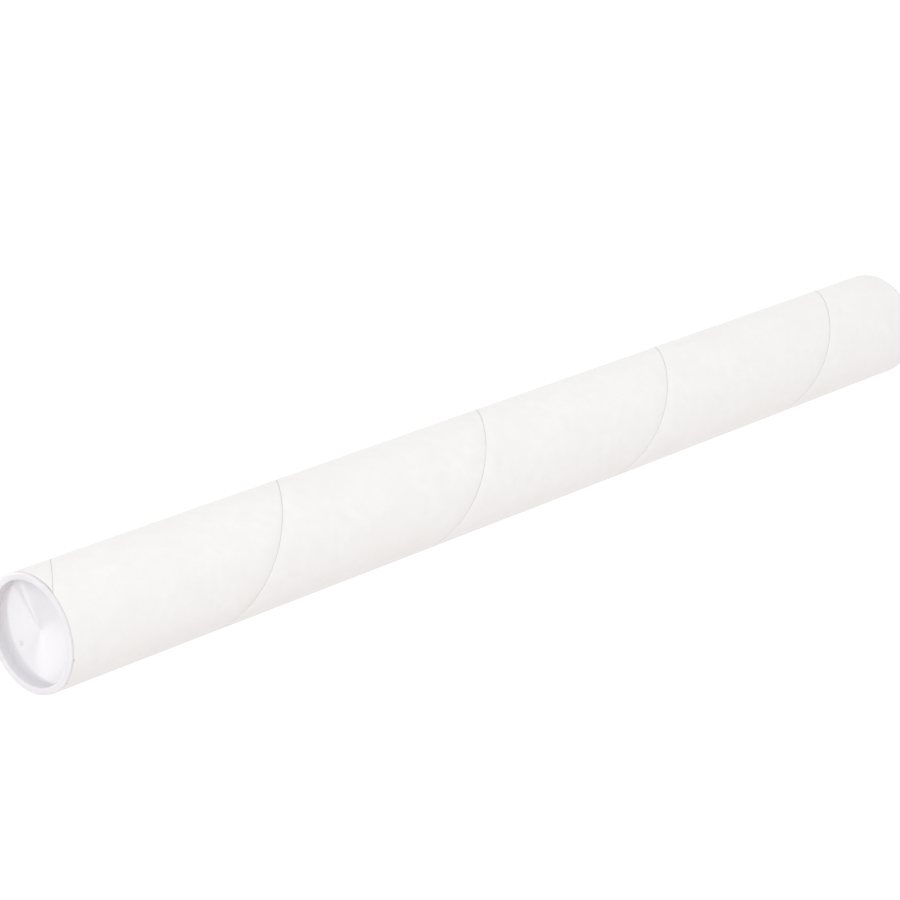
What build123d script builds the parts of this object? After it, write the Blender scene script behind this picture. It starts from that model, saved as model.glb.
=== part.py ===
from build123d import *
import math
import os

# A spiral-wound cardboard mailing tube, closed by a push-in plastic plug at each end.
# It stands on its lower plug. The origin is the centre of that plug's outer face, on the
# surface it stands on, and +Z runs up the tube's axis. Sizes are in millimetres.

# Tube
tube_length = 609.6
bore_diameter = 50.8
tube_wall = 2.5

# Open butt joint of the outermost ply, a shallow left-handed helical groove
seam_pitch = 137.2
seam_width = 0.4
seam_depth = 0.15
seam_level = 72.5  # height above the origin at which the groove crosses the tube's -Y side
seam_overrun = 6.0  # how far the groove's cutter runs on past the tube's top

# Plug: a flange that covers the tube's cut end, and a skirt that goes into the bore
flange_thickness = 1.0
flange_inset = 0.1  # the flange's edge stays this far inside the tube's outside
flange_edge_radius = 0.4
skirt_length = 19.0
skirt_wall = 0.9
skirt_play = 0.25  # radial gap between the bore and the skirt's root
skirt_draft = 0.4  # how much smaller the skirt's radius is at its tip
mouth_radius = 0.5  # rounding where the flange turns down into the recess
tip_edge_radius = 0.4

# Gripping ribs round the skirt
rib_count = 3
rib_width = 1.4
rib_clearance = 0.05  # radial gap between the bore and a rib's crest

# Web: the shallow dished cone that closes the plug
recess_depth = 4.6  # from the flange's outer face to the web's rim
cone_depth = 1.6  # how much deeper the web's centre lies than its rim
web_thickness = 1.1
web_corner_radius = 0.6

# Gate pip: the small raised spot that moulding leaves on the web
gate_diameter = 2.2
gate_height = 0.3
gate_distance = 15.0  # from the plug's centre
gate_angle = 100.0  # degrees round the plug's axis

bore_radius = bore_diameter / 2
tube_radius = bore_radius + tube_wall
tube_bottom = flange_thickness
tube_top = tube_bottom + tube_length
overall_height = tube_top + flange_thickness


def build_tube():
    """The wound tube, with the open joint of its outer ply cut as a helical groove."""
    # A helix starts on the +X side, so the -Y side is a quarter of a left-handed turn on.
    quarter_turn = 0.25
    turns_below = math.ceil((seam_level - tube_bottom) / seam_pitch)
    seam_start = seam_level - (turns_below + quarter_turn) * seam_pitch
    with BuildPart() as seam_cutter:
        with BuildLine() as seam:
            Helix(
                pitch=seam_pitch,
                height=tube_top + seam_overrun - seam_start,
                radius=tube_radius,
                center=(0, 0, seam_start),
                lefthand=True,
            )
        # The cutter's section reaches seam_depth into the tube and seam_width out of it.
        groove_plane = Plane(origin=seam.line @ 0, x_dir=(1, 0, 0), z_dir=seam.line % 0)
        with BuildSketch(groove_plane):
            with Locations(((seam_width - seam_depth) / 2, 0)):
                Rectangle(seam_width + seam_depth, seam_width)
        sweep(path=seam.line, is_frenet=True)

    with BuildPart() as tube:
        with BuildSketch(Plane.XY.offset(tube_bottom)):
            Circle(tube_radius)
            Circle(bore_radius, mode=Mode.SUBTRACT)
        extrude(amount=tube_length)
        add(seam_cutter.part, mode=Mode.SUBTRACT)
    return tube.part


def build_plug(seat):
    """One moulded plug. seat lies on the flange's outer face, and its z points outwards."""
    root_radius = bore_radius - skirt_play
    skirt_tip_radius = root_radius - skirt_draft
    mouth = root_radius - skirt_wall
    flange_radius = tube_radius - flange_inset
    tip_height = -flange_thickness - skirt_length

    def skirt_radius(height):
        """The skirt's outer radius at a height below the flange's outer face."""
        return root_radius + skirt_draft * (height + flange_thickness) / skirt_length

    web_rim = skirt_radius(-recess_depth) - skirt_wall
    under_web = skirt_radius(-recess_depth - web_thickness) - skirt_wall
    flange_edge = (flange_radius, 0)
    mouth_edge = (mouth, 0)
    web_corner = (web_rim, -recess_depth)
    under_web_corner = (under_web, -recess_depth - web_thickness)
    tip_outside = (skirt_tip_radius, tip_height)
    tip_inside = (skirt_tip_radius - skirt_wall, tip_height)
    profile_plane = Plane(origin=seat.origin, x_dir=seat.x_dir, z_dir=-seat.y_dir)

    with BuildPart() as plug:
        with BuildSketch(profile_plane) as profile:
            with BuildLine():
                Polyline(
                    (0, -recess_depth - cone_depth),
                    web_corner,
                    mouth_edge,
                    flange_edge,
                    (flange_radius, -flange_thickness),
                    (root_radius, -flange_thickness),
                    tip_outside,
                    tip_inside,
                    under_web_corner,
                    (0, -recess_depth - cone_depth - web_thickness),
                    close=True,
                )
            make_face()
            for corner, radius in (
                (flange_edge, flange_edge_radius),
                (mouth_edge, mouth_radius),
                (web_corner, web_corner_radius),
                (under_web_corner, web_corner_radius),
                (tip_outside, tip_edge_radius),
                (tip_inside, tip_edge_radius),
            ):
                fillet(profile.vertices().sort_by_distance(corner)[0], radius)
            for rib in range(rib_count):
                rib_height = -flange_thickness - skirt_length * (rib + 1) / (rib_count + 1)
                surface = skirt_radius(rib_height)
                with Locations((surface, rib_height)):
                    Ellipse(bore_radius - rib_clearance - surface, rib_width / 2)
        revolve(axis=Axis(seat.origin, seat.z_dir))

        gate_level = -recess_depth - cone_depth * (1 - gate_distance / web_rim)
        with BuildSketch(seat.offset(gate_level - web_thickness / 2)):
            with PolarLocations(gate_distance, 1, start_angle=gate_angle):
                Circle(gate_diameter / 2)
        extrude(amount=web_thickness / 2 + gate_height)
    return plug.part


tube = build_tube()
tube.label = "tube"

upper_plug = build_plug(Plane.XY.offset(overall_height))
upper_plug.label = "upper_plug"

lower_plug = build_plug(Plane(origin=(0, 0, 0), x_dir=(1, 0, 0), z_dir=(0, 0, -1)))
lower_plug.label = "lower_plug"

os.makedirs("parts", exist_ok=True)
for piece in (tube, upper_plug, lower_plug):
    export_step(piece, f"parts/{piece.label}.step")
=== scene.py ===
import math

import bmesh
import bpy
import numpy as np
from mathutils import Euler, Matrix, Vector, noise


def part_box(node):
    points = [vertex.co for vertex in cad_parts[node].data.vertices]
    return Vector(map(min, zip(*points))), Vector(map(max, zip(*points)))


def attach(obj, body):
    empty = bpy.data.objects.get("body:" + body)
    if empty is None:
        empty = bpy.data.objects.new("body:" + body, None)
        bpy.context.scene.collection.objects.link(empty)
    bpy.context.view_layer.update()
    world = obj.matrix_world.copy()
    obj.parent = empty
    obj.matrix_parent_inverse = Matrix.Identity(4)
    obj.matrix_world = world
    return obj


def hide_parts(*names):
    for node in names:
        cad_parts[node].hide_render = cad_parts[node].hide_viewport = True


MM = 0.001

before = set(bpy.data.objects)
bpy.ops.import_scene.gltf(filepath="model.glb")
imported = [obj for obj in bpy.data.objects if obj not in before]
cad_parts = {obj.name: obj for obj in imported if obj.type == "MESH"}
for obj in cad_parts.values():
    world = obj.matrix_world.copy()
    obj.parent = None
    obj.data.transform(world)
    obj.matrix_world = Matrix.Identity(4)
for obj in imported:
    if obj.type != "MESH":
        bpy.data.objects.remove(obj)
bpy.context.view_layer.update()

# Places and sizes that the frame gives
TUBE_LOW, TUBE_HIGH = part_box("tube")
TUBE_RADIUS = (TUBE_HIGH.x - TUBE_LOW.x) / 2
TUBE_BOTTOM, TUBE_TOP = TUBE_LOW.z, TUBE_HIGH.z
OVERALL_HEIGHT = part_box("upper_plug")[1].z
FLANGE_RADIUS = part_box("upper_plug")[1].x
FLANGE_THICKNESS = OVERALL_HEIGHT - TUBE_TOP
PLUG_HEIGHT = OVERALL_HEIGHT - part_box("upper_plug")[0].z

# Tube
BORE_RADIUS = 25.4 * MM
SEAM_PITCH = 137.2 * MM  # rise of the outer ply's joint in one left-handed turn
SEAM_LEVEL = 72.5 * MM  # height at which that joint crosses the -Y side
SEAM_WIDTH = 0.46 * MM
OUTER_PLY = 0.15 * MM
INNER_SEAM_LEVEL = 118.0 * MM
INNER_SEAM_WIDTH = 0.6 * MM
INNER_PLY = 0.3 * MM
SURFACE_SLACK = 0.03 * MM  # how far inside the true radius the outer surface may wander
RIM_REACH = 1.6 * MM  # how far below the top rim its unevenness is taken up
# Top rim: direction in degrees round the tube, and how far the outer ply falls short of the flange
RIM_SHORTFALL = [(-100, 0.03 * MM), (-64, 0.05 * MM), (-58, 0.5 * MM), (-46, 0.42 * MM),
                 (-32, 0.24 * MM), (-18, 0.12 * MM), (4, 0.08 * MM), (90, 0.03 * MM),
                 (180, 0.02 * MM)]
RIM_BEVEL = 1.4 * MM  # how far in from the outside the cut end is pressed down
# Small nicks in the top rim: direction in degrees, half width in degrees, depth
RIM_NICKS = [(-128, 0.9, 0.6 * MM), (-156, 0.9, 0.6 * MM)]
COLUMNS_A_TURN = 180
SPANS_A_PLY = 14  # faces across a ply, between its two edges
PLY_EDGE = 0.06 * MM  # width over which a ply's edge is rolled down into its joint
# A ply's edge, from the joint's floor up to the surface: shares of PLY_EDGE and of the depth
EDGE_PROFILE = [(0.0, 1.0), (0.0, 0.45), (0.3, 0.12), (1.0, 0.0)]
EDGE_ROWS = 1 + len(EDGE_PROFILE)
# How unevenly a joint gapes: share of its width, and the turn in radians over which that changes
SLOW_GAPE = (0.35, 0.9)
QUICK_GAPE = (0.2, 0.21)
RIPPLE_ROUND = 1.6  # radius, in the noise's own units, of the circle that the tube's girth follows
RIPPLE_LENGTH = 28 * MM
CUT_TOLERANCE = 1e-8
LEVEL_TOLERANCE = 1e-7
SKIN_MARGIN = 0.04 * MM  # more than SURFACE_SLACK, so that it picks out the whole outer skin
BOARD_CREASE = math.radians(40)  # a sharper edge than this is shaded as an edge

# Plugs
SKIRT_ROOT = 25.15 * MM
SKIRT_WALL = 0.9 * MM
SKIRT_DRAFT = 0.4 * MM
SKIRT_LENGTH = PLUG_HEIGHT - FLANGE_THICKNESS
FLANGE_EDGE = 0.4 * MM
MOUTH_RADIUS = 0.5 * MM
TIP_EDGE = 0.4 * MM
RIB_COUNT = 3
RIB_WIDTH = 1.4 * MM
RIB_CLEARANCE = 0.05 * MM
RECESS_DEPTH = 4.6 * MM
CONE_DEPTH = 1.6 * MM
WEB_RIM = 24.17 * MM
WEB_THICKNESS = 1.1 * MM
WEB_CORNER = 0.6 * MM
WEB_RINGS = 58
PLUG_COLUMNS = 240
CORNER_STEPS = 6
TIP_STEPS = 5
RIB_STEPS = 10
WALL_STEPS = 4
FLANGE_STEPS = 3
SKIRT_STEPS = 6
ROOT_CHAMFER = 0.1 * MM
PLUG_CREASE = math.radians(50)
GATE_DISTANCE = 15.0 * MM
GATE_ANGLE = math.radians(100)
GATE_RADIUS = 1.1 * MM
GATE_HEIGHT = 0.3 * MM
NUB_SHARE = 0.4  # part of that height which the nub in the pip's middle takes
FOLDS_FADE = 0.72  # share of the web's radius at which its folds start to die away
# Directions of the web's folds, in degrees round the plug, and how far each stands up or down
WEB_FOLDS = [(354, -0.06 * MM), (2, 0.1 * MM), (12, -0.02 * MM), (70, 0.08 * MM),
             (140, -0.05 * MM), (219, 0.1 * MM), (290, 0.06 * MM), (330, -0.12 * MM)]


def smooth_step(low, high, value):
    """0 below low, 1 above high, and a smooth rise between them."""
    t = np.clip((value - low) / (high - low), 0.0, 1.0)
    return t * t * (3 - 2 * t)


def wander(position, scale, seed):
    """A smooth value between about -1 and 1 that changes over the distance scale."""
    return noise.noise(Vector((position / scale, seed, 0.5 * seed)))


def new_object(name, mesh):
    thing = bpy.data.objects.new(name, mesh)
    bpy.context.scene.collection.objects.link(thing)
    return thing


# ---------------------------------------------------------------- tube


def ply_rows(pitch, joint_half, depth):
    """Offsets along the axis and depths across a ply, from the middle of one joint to the next."""
    edge = [(0.0, depth)] + [(joint_half + across * PLY_EDGE, deep * depth)
                             for across, deep in EDGE_PROFILE]
    flat_start = joint_half + PLY_EDGE
    inner = [(flat_start + (pitch - 2 * flat_start) * k / SPANS_A_PLY, 0.0)
             for k in range(1, SPANS_A_PLY)]
    return edge + inner + [(pitch - offset, deep) for offset, deep in reversed(edge)]


def ply_strip(radius, pitch, level, width, depth, outwards, seed):
    """A bmesh of one wound ply's surface, cut off at the tube's ends, as a welded helical strip."""
    # Height grows as the angle falls, because the winding is left-handed. Spare turns run past
    # both ends of the tube and are cut off.
    turns_below = math.ceil((level - TUBE_BOTTOM) / pitch) + 2
    turns = turns_below + math.ceil((TUBE_TOP - level) / pitch) + 1
    columns = turns * COLUMNS_A_TURN + 1
    step = math.tau / COLUMNS_A_TURN
    rows = ply_rows(pitch, width / 2, depth)
    # The joint's width is measured across it, and the rows' offsets run along the axis.
    slant = 1 / math.cos(math.atan(pitch / (math.tau * radius)))
    strip = bmesh.new()
    grid = {}
    last = len(rows) - 1
    for column in range(columns):
        angle = -math.pi / 2 - column * step
        base = level - turns_below * pitch + column / COLUMNS_A_TURN * pitch
        for row, (offset, deep) in enumerate(rows):
            if row == last and column + COLUMNS_A_TURN < columns:
                continue
            near_low = row < EDGE_ROWS
            near_high = row > last - EDGE_ROWS
            turned = (column + (COLUMNS_A_TURN if near_high else 0)) * step
            edge_seed = seed + (3 if near_low else 7)
            opening = (1 + SLOW_GAPE[0] * wander(turned, SLOW_GAPE[1], seed)
                       + QUICK_GAPE[0] * wander(turned, QUICK_GAPE[1], edge_seed))
            height = base + offset
            if near_low:
                height = base + offset * slant * opening
            elif near_high:
                height = base + pitch - (pitch - offset) * slant * opening
            spot = Vector((math.cos(angle) * RIPPLE_ROUND, math.sin(angle) * RIPPLE_ROUND,
                           height / RIPPLE_LENGTH + seed))
            ripple = SURFACE_SLACK * (0.5 + 0.5 * noise.noise(spot))
            inset = deep + ripple
            r = radius - inset if outwards else radius + inset
            grid[column, row] = strip.verts.new(
                (r * math.cos(angle), r * math.sin(angle), height))
    for column in range(columns):
        if column + COLUMNS_A_TURN < columns:
            grid[column, last] = grid[column + COLUMNS_A_TURN, 0]
    for column in range(columns - 1):
        for row in range(last):
            corners = [grid[column, row], grid[column, row + 1],
                       grid[column + 1, row + 1], grid[column + 1, row]]
            strip.faces.new(corners if outwards else corners[::-1])
    for height, normal in ((TUBE_BOTTOM, -1), (TUBE_TOP, 1)):
        bmesh.ops.bisect_plane(
            strip, geom=strip.verts[:] + strip.edges[:] + strip.faces[:], dist=CUT_TOLERANCE,
            plane_co=(0, 0, height), plane_no=(0, 0, normal), clear_outer=True)
    return strip


def rim_shortfall(angle):
    """How far the tube's top rim falls short of the flange, in a direction round the tube."""
    turn = math.degrees(angle)
    short = float(np.interp(turn, [a for a, _ in RIM_SHORTFALL], [s for _, s in RIM_SHORTFALL],
                            period=360))
    for middle, half_width, depth in RIM_NICKS:
        away = (turn - middle + 180) % 360 - 180
        short += depth * math.exp(-(away / half_width) ** 2)
    return short


def settle_rim(verts):
    """Draws the outer ply's top rim down unevenly, as a cut and handled edge is."""
    for vert in verts:
        share = smooth_step(TUBE_TOP - RIM_REACH, TUBE_TOP, vert.co.z)
        if share > 0:
            vert.co.z -= share * rim_shortfall(math.atan2(vert.co.y, vert.co.x))


def rim_loop(mesh, height):
    """The open edge's vertices at one end, in order of their angle."""
    found = {v for e in mesh.edges if e.is_boundary for v in e.verts
             if abs(v.co.z - height) < LEVEL_TOLERANCE}
    return sorted(found, key=lambda v: math.atan2(v.co.y, v.co.x))


def stitch(mesh, ring_a, ring_b, flip):
    """Closes the band between two rings of vertices, each sorted by angle, with triangles."""
    def angles(ring):
        return [math.atan2(v.co.y, v.co.x) for v in ring]
    a, b = angles(ring_a), angles(ring_b)
    i = j = 0
    while i < len(a) or j < len(b):
        next_a = a[i + 1] if i + 1 < len(a) else a[0] + math.tau
        next_b = b[j + 1] if j + 1 < len(b) else b[0] + math.tau
        take_a = j >= len(b) or (i < len(a) and next_a <= next_b)
        here_a, here_b = ring_a[i % len(a)], ring_b[j % len(b)]
        if take_a:
            i += 1
            face = [here_a, ring_a[i % len(a)], here_b]
        else:
            j += 1
            face = [here_a, ring_b[j % len(b)], here_b]
        mesh.faces.new(face[::-1] if flip else face)


def close_end(mesh, outer, inner, height, top):
    """The cut end of the wall: a bevel behind the outer ply, then a flat ring."""
    core = []
    for vert in outer:
        scale = (TUBE_RADIUS - RIM_BEVEL) / vert.co.xy.length
        core.append(mesh.verts.new((vert.co.x * scale, vert.co.y * scale, height)))
    count = len(outer)
    for k in range(count):
        after = (k + 1) % count
        face = [outer[k], outer[after], core[after], core[k]]
        mesh.faces.new(face if top else face[::-1])
    stitch(mesh, core, inner, flip=not top)


def make_tube():
    """The wound tube: its two visible plies, their joints, and the square-cut ends."""
    body = ply_strip(TUBE_RADIUS, SEAM_PITCH, SEAM_LEVEL, SEAM_WIDTH, OUTER_PLY, True, 1.0)
    lining = ply_strip(BORE_RADIUS, SEAM_PITCH, INNER_SEAM_LEVEL, INNER_SEAM_WIDTH, INNER_PLY,
                       False, 5.0)
    lining_mesh = bpy.data.meshes.new("lining")
    lining.to_mesh(lining_mesh)
    lining.free()
    body.from_mesh(lining_mesh)
    bpy.data.meshes.remove(lining_mesh)
    middle = (TUBE_RADIUS + BORE_RADIUS) / 2
    for height, top in ((TUBE_BOTTOM, False), (TUBE_TOP, True)):
        rim = rim_loop(body, height)
        outer = [v for v in rim if v.co.xy.length > middle]
        inner = [v for v in rim if v.co.xy.length <= middle]
        close_end(body, outer, inner, height, top)
    skin_radius = TUBE_RADIUS - OUTER_PLY - SKIN_MARGIN
    settle_rim([v for v in body.verts if v.co.xy.length > skin_radius])
    mesh = bpy.data.meshes.new("tube_shell")
    body.to_mesh(mesh)
    body.free()
    mesh.shade_smooth()
    mesh.set_sharp_from_angle(angle=BOARD_CREASE)
    return new_object("tube_shell", mesh)


# ---------------------------------------------------------------- plugs


def arc(centre, radius, start, end, steps):
    """Points of a section's arc, from one angle to another in degrees."""
    turn = [math.radians(start + (end - start) * k / steps) for k in range(steps + 1)]
    return [(centre[0] + radius * math.cos(t), centre[1] + radius * math.sin(t)) for t in turn]


def between(start, end, steps):
    """Points of a straight stretch, with its ends left out."""
    return [(start[0] + (end[0] - start[0]) * k / steps,
             start[1] + (end[1] - start[1]) * k / steps) for k in range(1, steps)]


def plug_section():
    """The plug's section as (radius, height) from the web's top centre to its underside's centre.

    Height 0 is the flange's outer face. Also gives how many points lie on the web's top."""
    tip = -PLUG_HEIGHT
    slope = CONE_DEPTH / WEB_RIM
    cone_rise = math.degrees(math.atan(slope))

    def skirt(height):
        return SKIRT_ROOT + SKIRT_DRAFT * (height + FLANGE_THICKNESS) / SKIRT_LENGTH

    corner = (WEB_RIM - WEB_CORNER, -RECESS_DEPTH + WEB_CORNER * (1 - slope))
    web_start = (0.0, -RECESS_DEPTH - CONE_DEPTH)
    round_corner = arc(corner, WEB_CORNER, cone_rise - 90, 0, CORNER_STEPS)
    web = [web_start] + between(web_start, round_corner[0], WEB_RINGS)
    wall_top = (SKIRT_ROOT - SKIRT_WALL, -MOUTH_RADIUS)
    mouth = arc((wall_top[0] + MOUTH_RADIUS, -MOUTH_RADIUS), MOUTH_RADIUS, 180, 90,
                CORNER_STEPS)
    edge = arc((FLANGE_RADIUS - FLANGE_EDGE, -FLANGE_EDGE), FLANGE_EDGE, 90, 0, CORNER_STEPS)
    section = web + round_corner + between(round_corner[-1], wall_top, WALL_STEPS) + mouth
    section += between(mouth[-1], edge[0], FLANGE_STEPS) + edge
    section += [(FLANGE_RADIUS, -FLANGE_THICKNESS),
                (SKIRT_ROOT + ROOT_CHAMFER, -FLANGE_THICKNESS),
                (SKIRT_ROOT, -FLANGE_THICKNESS - ROOT_CHAMFER)]
    for rib in range(RIB_COUNT):
        middle = -FLANGE_THICKNESS - SKIRT_LENGTH * (rib + 1) / (RIB_COUNT + 1)
        crest = BORE_RADIUS - RIB_CLEARANCE - skirt(middle)
        for k in range(RIB_STEPS + 1):
            turn = math.pi * k / RIB_STEPS
            height = middle + RIB_WIDTH / 2 * math.cos(turn)
            section.append((skirt(height) + crest * math.sin(turn), height))
    outside = skirt(tip)
    section += arc((outside - TIP_EDGE, tip + TIP_EDGE), TIP_EDGE, 0, -90, TIP_STEPS)
    inside = outside - SKIRT_WALL
    section += arc((inside + TIP_EDGE, tip + TIP_EDGE), TIP_EDGE, -90, -180, TIP_STEPS)
    under_rim = skirt(-RECESS_DEPTH - WEB_THICKNESS) - SKIRT_WALL
    under = (under_rim - WEB_CORNER, -RECESS_DEPTH - WEB_THICKNESS - WEB_CORNER * (1 + slope))
    under_corner = arc(under, WEB_CORNER, 0, 90 + cone_rise, CORNER_STEPS)
    section += between(section[-1], under_corner[0], SKIRT_STEPS) + under_corner
    under_centre = (0.0, -RECESS_DEPTH - CONE_DEPTH - WEB_THICKNESS)
    section += between(under_corner[-1], under_centre, WEB_RINGS) + [under_centre]
    return section, len(web)


def web_warp(radius, angle):
    """How far the moulded web stands off its cone: shallow folds that run out from the middle."""
    reach = min(radius / WEB_RIM, 1.0)
    envelope = reach * smooth_step(1.0, FOLDS_FADE, reach)
    turn = math.degrees(angle) % 360
    fold = np.interp(turn, [a for a, _ in WEB_FOLDS], [h for _, h in WEB_FOLDS], period=360)
    return envelope * fold


def gate_mark(radius, angle):
    """The low pip that the moulding gate leaves on the web, with a torn nub in its middle."""
    away = math.hypot(radius * math.cos(angle) - GATE_DISTANCE * math.cos(GATE_ANGLE),
                      radius * math.sin(angle) - GATE_DISTANCE * math.sin(GATE_ANGLE))
    pip = smooth_step(GATE_RADIUS, 0.7 * GATE_RADIUS, away)
    nub = smooth_step(0.45 * GATE_RADIUS, 0.1 * GATE_RADIUS, away)
    return GATE_HEIGHT * ((1 - NUB_SHARE) * pip + NUB_SHARE * nub)


def make_plug(name, upper):
    """One plug as a smooth closed mesh: flange, skirt with its ribs, and warped web."""
    section, web_points = plug_section()
    mesh = bmesh.new()
    rings = []
    for index, (radius, height) in enumerate(section):
        on_top = index < web_points
        on_web = on_top or index > len(section) - web_points
        ring = []
        for k in range(1 if radius == 0 else PLUG_COLUMNS):
            angle = math.tau * k / PLUG_COLUMNS
            lift = web_warp(radius, angle) if on_web else 0.0
            if on_top:
                lift += gate_mark(radius, angle)
            x, y, z = radius * math.cos(angle), radius * math.sin(angle), height + lift
            place = (x, y, OVERALL_HEIGHT + z) if upper else (x, -y, -z)
            ring.append(mesh.verts.new(place))
        rings.append(ring)
    for inner, outer in zip(rings, rings[1:]):
        for k in range(PLUG_COLUMNS):
            after = (k + 1) % PLUG_COLUMNS
            if len(inner) == 1:
                face = [inner[0], outer[k], outer[after]]
            elif len(outer) == 1:
                face = [inner[k], outer[0], inner[after]]
            else:
                face = [inner[k], outer[k], outer[after], inner[after]]
            mesh.faces.new(face)
    data = bpy.data.meshes.new(name)
    mesh.to_mesh(data)
    mesh.free()
    data.shade_smooth()
    data.set_sharp_from_angle(angle=PLUG_CREASE)
    return new_object(name, data)


# ---------------------------------------------------------------- materials


class Nodes:
    """A short way to build a material's node tree."""

    def __init__(self, name):
        self.material = bpy.data.materials.new(name)
        self.material.use_nodes = True
        self.tree = self.material.node_tree
        self.shader = self.tree.nodes["Principled BSDF"]
        self.output = self.tree.nodes["Material Output"]

    def add(self, kind, inputs=None, **settings):
        node = self.tree.nodes.new(kind)
        for key, value in settings.items():
            setattr(node, key, value)
        for key, value in (inputs or {}).items():
            self.set(node.inputs[key], value)
        return node

    def set(self, socket, value):
        if isinstance(value, bpy.types.NodeSocket):
            self.tree.links.new(value, socket)
        else:
            socket.default_value = value

    def place(self):
        return self.add("ShaderNodeTexCoord").outputs["Object"]

    def noise(self, scale, detail, rough=0.5):
        return self.add("ShaderNodeTexNoise", {
            "Vector": self.place(), "Scale": scale, "Detail": detail,
            "Roughness": rough}).outputs["Fac"]

    def math(self, operation, a, b=0.0):
        return self.add("ShaderNodeMath", {0: a, 1: b}, operation=operation).outputs[0]

    def remap(self, value, from_low, from_high, to_low=0.0, to_high=1.0):
        return self.add("ShaderNodeMapRange", {
            "Value": value, "From Min": from_low, "From Max": from_high,
            "To Min": to_low, "To Max": to_high}).outputs["Result"]

    def mix(self, factor, a, b):
        node = self.add("ShaderNodeMix", data_type="RGBA")
        self.set(node.inputs["Factor"], factor)
        self.set(node.inputs["A"], a)
        self.set(node.inputs["B"], b)
        return node.outputs["Result"]

    def bump(self, height, strength, distance, normal=None):
        inputs = {"Height": height, "Strength": strength, "Distance": distance}
        if normal is not None:
            inputs["Normal"] = normal
        return self.add("ShaderNodeBump", inputs).outputs["Normal"]


def linear(red, green, blue):
    """A display colour, 0 to 255, as the linear colour that a shader takes."""
    def one(value):
        value /= 255
        return value / 12.92 if value <= 0.04045 else ((value + 0.055) / 1.055) ** 2.4
    return (one(red), one(green), one(blue), 1.0)


def board_material():
    """White paper outside, grey chipboard on the cut edges, in the joints and in the bore."""
    n = Nodes("board")
    place = n.place()
    split = n.add("ShaderNodeSeparateXYZ", {"Vector": place})
    square = n.math("ADD", n.math("MULTIPLY", split.outputs["X"], split.outputs["X"]),
                    n.math("MULTIPLY", split.outputs["Y"], split.outputs["Y"]))
    radius = n.math("SQRT", square)
    paper = n.remap(radius, TUBE_RADIUS - 0.8 * OUTER_PLY, TUBE_RADIUS - 0.5 * OUTER_PLY)

    # Paper: soft clouds, wider dull patches and fine fibres
    cloud = n.noise(150, 4, 0.6)
    blotch = n.noise(38, 2)
    fibre = n.noise(1500, 3, 0.6)
    white = n.mix(n.remap(cloud, 0.3, 0.7), linear(245, 245, 243), linear(250, 250, 249))
    white = n.mix(n.remap(blotch, 0.4, 0.68, 0.0, 0.45), white, linear(245, 243, 241))
    white = n.mix(n.remap(fibre, 0.35, 0.7, 0.0, 0.5), white, linear(242, 241, 239))

    # Chipboard: uneven grey with dark specks, and a paler ply just under the paper
    chip = n.mix(n.remap(n.noise(420, 5, 0.65), 0.3, 0.7), linear(196, 192, 184),
                 linear(216, 212, 204))
    chip = n.mix(n.remap(n.noise(2600, 2), 0.62, 0.74, 0.0, 0.6), chip, linear(150, 144, 134))
    second_ply = n.remap(radius, TUBE_RADIUS - 1.6 * OUTER_PLY, TUBE_RADIUS - 1.3 * OUTER_PLY)
    chip = n.mix(second_ply, chip, linear(222, 220, 215))
    n.set(n.shader.inputs["Base Color"], n.mix(paper, chip, white))
    n.set(n.shader.inputs["Roughness"], n.remap(cloud, 0.2, 0.8, 0.72, 0.86))
    n.shader.inputs["Specular IOR Level"].default_value = 0.3
    coarse = n.bump(blotch, 0.25, 0.4 * MM)
    n.set(n.shader.inputs["Normal"],
          n.bump(n.math("ADD", cloud, n.math("MULTIPLY", fibre, 0.6)), 0.25, 0.05 * MM, coarse))
    return n.material


def plug_material():
    """Natural white polyethylene, satin and slightly see-through."""
    n = Nodes("polyethylene")
    flow = n.noise(60, 3)
    fine = n.noise(900, 2)
    n.set(n.shader.inputs["Base Color"],
          n.mix(n.remap(flow, 0.3, 0.7), linear(227, 225, 229), linear(232, 230, 234)))
    n.set(n.shader.inputs["Roughness"], n.remap(flow, 0.2, 0.8, 0.1, 0.18))
    n.shader.inputs["IOR"].default_value = 1.51
    n.shader.inputs["Subsurface Weight"].default_value = 0.35
    n.shader.inputs["Subsurface Radius"].default_value = (1.0, 0.95, 1.0)
    n.shader.inputs["Subsurface Scale"].default_value = 1.5 * MM
    n.set(n.shader.inputs["Normal"],
          n.bump(n.math("ADD", flow, n.math("MULTIPLY", fine, 0.1)), 0.08, 0.1 * MM))
    return n.material


# ---------------------------------------------------------------- studio


def floor_material():
    """White to the camera, with the object's shadow left in it."""
    n = Nodes("white_floor")
    diffuse = n.add("ShaderNodeBsdfDiffuse", {"Color": (0.85, 0.85, 0.85, 1)})
    glow = n.add("ShaderNodeEmission", {"Color": (1, 1, 1, 1), "Strength": 0.55})
    lit = n.add("ShaderNodeAddShader", {0: diffuse.outputs[0], 1: glow.outputs[0]})
    rays = n.add("ShaderNodeLightPath")
    seen = n.math("MAXIMUM", rays.outputs["Is Camera Ray"],
                  n.math("MAXIMUM", rays.outputs["Is Glossy Ray"],
                         rays.outputs["Is Transmission Ray"]))
    n.set(n.output.inputs["Surface"], n.add("ShaderNodeMixShader", {
        0: seen, 1: diffuse.outputs[0], 2: lit.outputs[0]}).outputs[0])
    return n.material


def make_floor():
    """A level floor, far wider than the camera sees."""
    mesh = bpy.data.meshes.new("floor")
    half = 12.0
    mesh.from_pydata([(-half, -half, 0), (half, -half, 0), (half, half, 0), (-half, half, 0)],
                     [], [(0, 1, 2, 3)])
    floor = new_object("floor", mesh)
    mesh.materials.append(floor_material())


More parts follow.
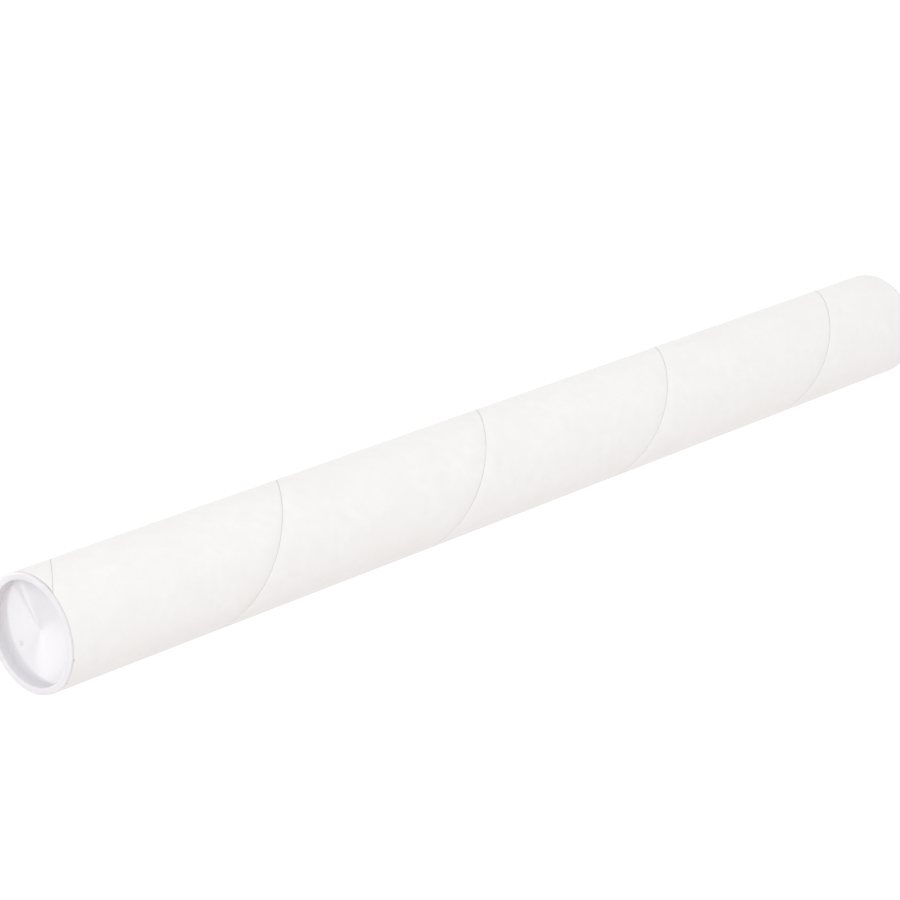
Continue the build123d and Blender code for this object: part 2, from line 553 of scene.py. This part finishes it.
def set_world(ambient, warm_side):
    """An even pale room, a little pinker on the -X side, and plain white behind the object."""
    # The X of the directions where the tint starts and where it is full
    tint_start, tint_full = -0.45, -1.0
    world = bpy.data.worlds.new("room")
    bpy.context.scene.world = world
    world.use_nodes = True
    tree = world.node_tree
    background = tree.nodes["Background"]
    rays = tree.nodes.new("ShaderNodeLightPath")
    backdrop = tree.nodes.new("ShaderNodeBackground")
    choose = tree.nodes.new("ShaderNodeMixShader")
    direction = tree.nodes.new("ShaderNodeTexCoord")
    split = tree.nodes.new("ShaderNodeSeparateXYZ")
    side = tree.nodes.new("ShaderNodeMapRange")
    tint = tree.nodes.new("ShaderNodeMix")
    tint.data_type = "RGBA"
    side.inputs["From Min"].default_value = tint_start
    side.inputs["From Max"].default_value = tint_full
    tint.inputs["A"].default_value = (1, 1, 1, 1)
    tint.inputs["B"].default_value = warm_side
    tree.links.new(direction.outputs["Generated"], split.inputs[0])
    tree.links.new(split.outputs["X"], side.inputs["Value"])
    tree.links.new(side.outputs["Result"], tint.inputs["Factor"])
    tree.links.new(tint.outputs["Result"], background.inputs["Color"])
    background.inputs["Strength"].default_value = ambient
    backdrop.inputs["Color"].default_value = (1, 1, 1, 1)
    backdrop.inputs["Strength"].default_value = 1.0
    tree.links.new(rays.outputs["Is Camera Ray"], choose.inputs[0])
    tree.links.new(background.outputs[0], choose.inputs[1])
    tree.links.new(backdrop.outputs[0], choose.inputs[2])
    tree.links.new(choose.outputs[0], tree.nodes["World Output"].inputs["Surface"])


def add_softbox(name, towards, distance, width, height, power, aim):
    """A flat lamp that shines on the tube's axis at the height aim, from the direction towards."""
    lamp = bpy.data.lights.new(name, "AREA")
    lamp.shape = "RECTANGLE"
    lamp.size = width
    lamp.size_y = height
    lamp.energy = power
    box = new_object(name, lamp)
    direction = Vector(towards).normalized()
    box.location = Vector((0, 0, aim)) + direction * distance
    box.rotation_euler = direction.to_track_quat("Z", "Y").to_euler()


def add_back_cards():
    """Lamps behind and above, which the dished plug reflects as light and dark sectors.

    Each has its low and high corner, across and up from the middle of the plug's reflection and
    as shares of the distance, and its glow."""
    ahead = Vector((0, 0.808, 0.589))
    right = Vector((1, 0, 0))
    above = Vector((0, -0.589, 0.808))
    distance = 2.5
    for name, low, high, glow in (("card_left", (-0.17, 0.02), (0.03, 0.19), 2.1),
                                  ("card_right", (-0.01, -0.19), (0.17, -0.03), 2.1),
                                  ("card_side", (0.05, -0.02), (0.17, 0.09), 3.9)):
        across, up = (low[0] + high[0]) / 2, (low[1] + high[1]) / 2
        width, height = (high[0] - low[0]) * distance, (high[1] - low[1]) * distance
        power = glow * math.pi * width * height
        add_softbox(name, ahead + right * across + above * up, distance, width, height, power,
                    OVERALL_HEIGHT)


def set_camera():
    """Above and in front of the tube's top, turned so that the tube slopes across the picture."""
    lens = bpy.data.cameras.new("camera")
    lens.sensor_width = 36
    lens.lens = 136.0
    lens.clip_end = 50
    camera = new_object("camera", lens)
    camera.location = (0, -1.1943, 1.4829)
    look_down = math.radians(43.791)
    aside = math.radians(-0.636)
    roll = math.radians(-109.802)
    turn = Euler((math.pi / 2 - look_down, 0, aside), "XYZ").to_matrix()
    spin = Euler((0, 0, roll), "XYZ").to_matrix()
    camera.rotation_euler = (turn @ spin).to_euler()
    bpy.context.scene.camera = camera


bpy.context.scene.view_settings.view_transform = "Standard"

board = board_material()
tube = make_tube()
tube.data.materials.append(board)
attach(tube, "tube")
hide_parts("tube")

plastic = plug_material()
for node in ("upper_plug", "lower_plug"):
    plug = make_plug(node + "_moulding", upper=node == "upper_plug")
    plug.data.materials.append(plastic)
    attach(plug, node)
    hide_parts(node)

make_floor()
set_world(ambient=0.935, warm_side=(1.0, 0.875, 0.885, 1))
add_softbox("key", towards=(0.295, -0.731, 0.616), distance=2.5, width=0.8, height=0.8,
            power=7.4, aim=OVERALL_HEIGHT / 2)
add_back_cards()
set_camera()
